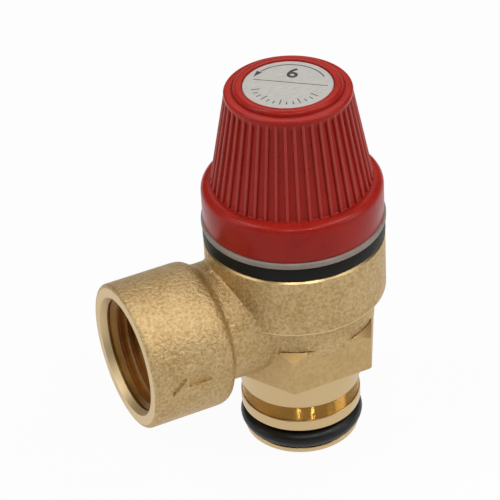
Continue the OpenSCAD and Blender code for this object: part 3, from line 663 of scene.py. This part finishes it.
# glossy ABS: deep red with a clean gloss that is a little broken by flow marks and handling
flow_size = 5.0
red_abs, shader, place = finish("glossy_red_abs", Specular_IOR_Level=0.16)
flow = add_node(red_abs, "ShaderNodeTexNoise",
                {"Vector": place, "Scale": 1 / (flow_size * MM), "Detail": 4.0})
gloss = add_node(red_abs, "ShaderNodeMapRange",
                 {"Value": flow.outputs["Fac"], "From Min": 0.3, "From Max": 0.7,
                  "To Min": 0.24, "To Max": 0.36})
shade = add_node(red_abs, "ShaderNodeValToRGB", {"Fac": flow.outputs["Fac"]})
shade.color_ramp.elements[0].position, shade.color_ramp.elements[0].color = 0.3, colour("#951c14")
shade.color_ramp.elements[1].position, shade.color_ramp.elements[1].color = 0.7, colour("#a02319")
red_abs.node_tree.links.new(gloss.outputs["Result"], shader.inputs["Roughness"])
red_abs.node_tree.links.new(shade.outputs["Color"], shader.inputs["Base Color"])

# the ribs' crests: a paler, pinker red that is a painted highlight, and a little shinier
crest_mottle_size = 2.0
crest_abs_painted_highlight, shader, place = finish("red_abs_crest_painted_highlight", Base_Color=colour("#a22e22"),
                                   Specular_IOR_Level=0.34)
crest_mottle = add_node(crest_abs_painted_highlight, "ShaderNodeTexNoise",
                {"Vector": place, "Scale": 1 / (crest_mottle_size * MM), "Detail": 3.0})
gloss = add_node(crest_abs_painted_highlight, "ShaderNodeMapRange",
                 {"Value": crest_mottle.outputs["Fac"], "From Min": 0.3, "From Max": 0.7,
                  "To Min": 0.3, "To Max": 0.42})
crest_abs_painted_highlight.node_tree.links.new(gloss.outputs["Result"], shader.inputs["Roughness"])

cone_fall = (cone_top - flute_end - shelf_height) * math.tan(math.radians(cone_lean))
inner_fall = (roof - shelf_height) * math.tan(math.radians(cone_lean))
skirt_inner, cone_inner = skirt_radius - knob_wall, root_radius - knob_wall
knob = turned("knob", [
    (skirt_inner, knob_low), *arc(skirt_radius - skirt_edge, knob_low + skirt_edge, skirt_edge, -90, 0, 3),
    *arc(skirt_radius - shelf_round, shelf_height - shelf_round, shelf_round, 0, 90),
    *arc(root_radius + root_fillet, shelf_height + root_fillet, root_fillet, -90, -180, 4),
    (root_radius - cone_fall, cone_top - flute_end), (shoulder_radius, cone_top),
    *arc(shoulder_radius - shoulder_round, shoulder_top - shoulder_round, shoulder_round, 0, 90, 6),
    *arc(lip_radius + lip_groove, shoulder_top, lip_groove, 0, -180, 6),
    *arc(lip_radius - lip_round, knob_top - lip_round, lip_round, 0, 90),
    *arc(label_hole + hole_edge, knob_top - hole_edge, hole_edge, 90, 180, 4),
    (label_hole, label_floor), (pocket_radius, label_floor), (pocket_radius, pocket_floor),
    (bore_radius, pocket_floor), (bore_radius, boss_low), (boss_radius, boss_low), (boss_radius, web_low),
    (cup_radius, web_low), (cup_radius, roof), (cone_inner - inner_fall, roof),
    (cone_inner, shelf_height - knob_wall), (skirt_inner, shelf_height - knob_wall - shelf_width),
    (skirt_inner, knob_low)], segments=4 * rib_count, closed=True)
knob.data.materials.append(red_abs)

# one rib: a block with drafted flanks and a rounded crest painted paler as a highlight, leaned with the
# cone, then copied round
rib_foot = rib_width + 2 * rib_draft
rib_length = (cone_top - shelf_height) / math.cos(math.radians(cone_lean))
bpy.ops.object.select_all(action="DESELECT")
bpy.ops.mesh.primitive_cube_add(size=1)
rib = bpy.context.object
rib.scale = ((rib_proud + rib_root) * MM, rib_foot * MM, (rib_length + 2 * rib_root) * MM)
rib.location = ((rib_proud - rib_root) / 2 * MM, 0, rib_length / 2 * MM)
bpy.ops.object.transform_apply()
pick(rib, lambda place: place.x > 0)
bpy.ops.transform.resize(value=(1, rib_width / rib_foot, 1), center_override=(0, 0, 0))
bpy.ops.mesh.bevel(offset=rib_edge * MM, segments=4, affect="EDGES")
bpy.ops.object.mode_set(mode="OBJECT")
rib.data.materials.append(red_abs)
rib.data.materials.append(crest_abs_painted_highlight)
# the crest faces get the paler red, a painted highlight
for polygon in rib.data.polygons:
    polygon.material_index = int(polygon.center.x > (rib_proud - rib_edge) * MM)
place_piece(rib, (0, -cone_lean, 0), (root_radius, 0, shelf_height))
ribs = [rib]
for i in range(1, rib_count):
    bpy.ops.object.select_all(action="DESELECT")
    rib.select_set(True)
    bpy.context.view_layer.objects.active = rib
    bpy.ops.object.duplicate(linked=False)
    ribs.append(bpy.context.object)
    place_piece(ribs[i], (0, 0, 360 / rib_count * i), (0, 0, 0))
machine(knob, join(ribs), "UNION")

blocks = []
for i in range(ramp_count):
    block = upright_plane("block", ramp_inner, ramp_outer, block_low, roof + block_root)
    wind(block, block_sweep, block_climb, block_steps)
    block.data.materials.append(red_abs)
    place_piece(block, (0, 0, 360 / ramp_count * i - block_sweep / 2), (0, 0, 0))
    blocks.append(block)
machine(knob, join(blocks), "UNION")
smooth(knob, 40)
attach(knob, "knob")
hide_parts("knob")
dress(["knob_washer", "knob_screw"], zinc_steel)


# Label: a disc of printed foil glued into the top of the knob, over the stem's screw.
# It shows which way the knob turns, the number of the pressure that opens the valve, and a plain scale.
label_radius, label_low, label_top, lower_edge, upper_edge = 7.8, 71.95, 72.35, 0.05, 0.08
print_turn, ink_proud = -40, 0.02
arc_radius, arc_width, arc_from, arc_to, arc_steps = 6.6, 0.2, 33, 148, 60
head_long, head_wide, head_ahead, head_turn = 0.6, 1.25, 7, 12
figure_size, figure_up, figure_bold = 4.2, 2.45, 0.02
line_up, line_width, line_left, line_right = 0.78, 0.14, -6.2, 6.8
tick_count, tick_from, tick_to, tick_every = 13, 205, 335, 3
tick_radius, tick_width, tick_long, tick_short = 6.4, 0.16, 1.5, 0.9

# printed foil: pale warm grey, silky, with a rolled grain, drawn coarser than it is so that it shows
grain_size, grain_draw = 0.2, 0.15
foil, shader, place = finish("silk_grey_foil", Roughness=0.45, Metallic=0.25)
stretched = add_node(foil, "ShaderNodeMapping", {
    "Vector": place, "Rotation": (0, 0, math.radians(-print_turn)), "Scale": (grain_draw, 1, 1)})
grain = add_node(foil, "ShaderNodeTexNoise",
                 {"Vector": stretched.outputs["Vector"], "Scale": 1 / (grain_size * MM), "Detail": 2.0})
silk = add_node(foil, "ShaderNodeValToRGB", {"Fac": grain.outputs["Fac"]})
silk.color_ramp.elements[0].position, silk.color_ramp.elements[0].color = 0.3, colour("#a8a59f")
silk.color_ramp.elements[1].position, silk.color_ramp.elements[1].color = 0.7, colour("#b9b6b0")
foil.node_tree.links.new(silk.outputs["Color"], shader.inputs["Base Color"])

label = turned("label", [
    (label_radius - lower_edge, label_low), (label_radius, label_low + lower_edge),
    (label_radius, label_top - upper_edge), (label_radius - upper_edge, label_top)])
label.data.materials.append(foil)
smooth(label, 30)
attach(label, "knob")
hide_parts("label")

# screen ink: flat soft black, a little thin in places
thin_size = 0.4
ink, shader, place = finish("black_screen_ink", Roughness=0.55)
spread = add_node(ink, "ShaderNodeTexNoise",
                  {"Vector": place, "Scale": 1 / (thin_size * MM), "Detail": 2.0})
thin = add_node(ink, "ShaderNodeValToRGB", {"Fac": spread.outputs["Fac"]})
thin.color_ramp.elements[0].position, thin.color_ramp.elements[0].color = 0.3, colour("#211f1e")
thin.color_ramp.elements[1].position, thin.color_ramp.elements[1].color = 0.75, colour("#3a3836")
ink.node_tree.links.new(thin.outputs["Color"], shader.inputs["Base Color"])


def ink_bar(left, right, low, high):
    """A flat bar of ink on the label, before the print is turned into its place."""
    bpy.ops.object.select_all(action="DESELECT")
    bpy.ops.mesh.primitive_cube_add(size=1)
    bar = bpy.context.object
    bar.scale = ((right - left) * MM, (high - low) * MM, ink_proud * MM)
    bar.location = ((left + right) / 2 * MM, (low + high) / 2 * MM, (label_top + ink_proud / 2) * MM)
    bpy.ops.object.transform_apply()
    return bar


sweep = upright_plane("label_print", arc_radius - arc_width / 2, arc_radius + arc_width / 2,
                      label_top, label_top + ink_proud)
wind(sweep, arc_to - arc_from, 0, arc_steps)
place_piece(sweep, (0, 0, arc_from), (0, 0, 0))

bpy.ops.object.select_all(action="DESELECT")
bpy.ops.mesh.primitive_cylinder_add(vertices=3, radius=MM, depth=ink_proud * MM)
head = bpy.context.object
head.scale = (head_long, head_wide, 1)
bpy.ops.object.transform_apply()
head_angle = math.radians(arc_to + head_ahead)
place_piece(head, (0, 0, arc_to + head_turn), (
    arc_radius * math.cos(head_angle), arc_radius * math.sin(head_angle), label_top + ink_proud / 2))

bpy.ops.object.select_all(action="DESELECT")
bpy.ops.object.text_add()
figure = bpy.context.object
figure.data.body, figure.data.align_x, figure.data.size = "6", "CENTER", 1
figure.data.extrude, figure.data.offset = ink_proud / 2 / figure_size, figure_bold
bpy.ops.object.convert(target="MESH")
figure = bpy.context.object
figure.scale = [figure_size * MM] * 3
place_piece(figure, (0, 0, 0), (0, figure_up, label_top + ink_proud / 2))

line = ink_bar(line_left, line_right, line_up - line_width / 2, line_up + line_width / 2)
ticks = []
for i in range(tick_count):
    reach = tick_short if i % tick_every else tick_long
    tick = ink_bar(tick_radius - reach, tick_radius, -tick_width / 2, tick_width / 2)
    place_piece(tick, (0, 0, tick_from + (tick_to - tick_from) * i / (tick_count - 1)), (0, 0, 0))
    ticks.append(tick)
label_print = join([sweep, head, figure, line, *ticks])
place_piece(label_print, (0, 0, print_turn), (0, 0, 0))
label_print.data.materials.append(ink)
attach(label_print, "knob")


# Studio: a white floor, soft screens to the left, the right and behind, and two small lamps in front.
# The floor shows white to the camera and in the metal's reflections, and keeps a part of the shadow.
# The camera stands where the photograph was taken from.
scene = bpy.context.scene
scene.view_settings.view_transform = "Standard"
floor_size, floor_white, sky, aim_height = 6, 0.95, 0.1, 40
bpy.ops.object.select_all(action="DESELECT")
bpy.ops.mesh.primitive_plane_add(size=floor_size)
floor = bpy.context.object
floor.name = "floor"
# white paper: an even white ground on which only a soft shadow shows
paper, shader, _ = finish("white_paper", Base_Color=colour("#d0d0d0"), Roughness=0.9)
glow = add_node(paper, "ShaderNodeEmission", {"Strength": 1.0})
ray = add_node(paper, "ShaderNodeLightPath", {})
seen = ray.outputs["Is Camera Ray"]
for kind in ("Is Glossy Ray", "Is Transmission Ray"):
    either = add_node(paper, "ShaderNodeMath", {0: seen, 1: ray.outputs[kind]}, operation="MAXIMUM")
    seen = either.outputs["Value"]
share = add_node(paper, "ShaderNodeMath", {0: seen, 1: floor_white}, operation="MULTIPLY")
mixed = add_node(paper, "ShaderNodeMixShader",
                 {0: share.outputs["Value"], 1: shader.outputs["BSDF"], 2: glow.outputs["Emission"]})
surface = paper.node_tree.nodes["Material Output"].inputs["Surface"]
paper.node_tree.links.new(mixed.outputs["Shader"], surface)
floor.data.materials.append(paper)

world = bpy.data.worlds.new("studio")
scene.world = world
world.use_nodes = True
backdrop = world.node_tree.nodes["Background"]
backdrop.inputs["Color"].default_value = (1, 1, 1, 1)
backdrop.inputs["Strength"].default_value = sky

# each lamp: direction and rise in degrees, distance and width in metres, power in watts
for name, azimuth, rise, distance, size, power in (
        ("left_high_screen", 170, 55, 0.7, 0.3, 1.55),
        ("left_low_screen", 170, 20, 0.8, 0.3, 0.94),
        ("right_high_screen", -40, 55, 0.7, 0.3, 1.85),
        ("right_low_screen", -40, 20, 0.8, 0.3, 1.0),
        ("back_screen", 65, 55, 0.7, 0.4, 1.4),
        ("left_lamp", -123, 52, 0.6, 0.035, 0.46),
        ("right_lamp", -91, 52, 0.6, 0.052, 0.54)):
    turn, tilt = math.radians(azimuth), math.radians(rise)
    bpy.ops.object.light_add(type="AREA", location=(
        distance * math.cos(tilt) * math.cos(turn), distance * math.cos(tilt) * math.sin(turn),
        distance * math.sin(tilt) + aim_height * MM))
    lamp = bpy.context.object
    lamp.name, lamp.data.size, lamp.data.energy = name, size, power
    lamp.rotation_euler = (math.radians(90 - rise), 0, turn + math.radians(90))

camera_place, camera_turn = (-153.02, -316.55, 285.16), (54.911, 2.611, -26.334)
bpy.ops.object.camera_add(location=[a * MM for a in camera_place])
camera = bpy.context.object
camera.rotation_euler = [math.radians(a) for a in camera_turn]
camera.data.lens, camera.data.sensor_width = 174.1, 36
camera.data.clip_start, camera.data.clip_end = 0.01, 10
scene.camera = camera
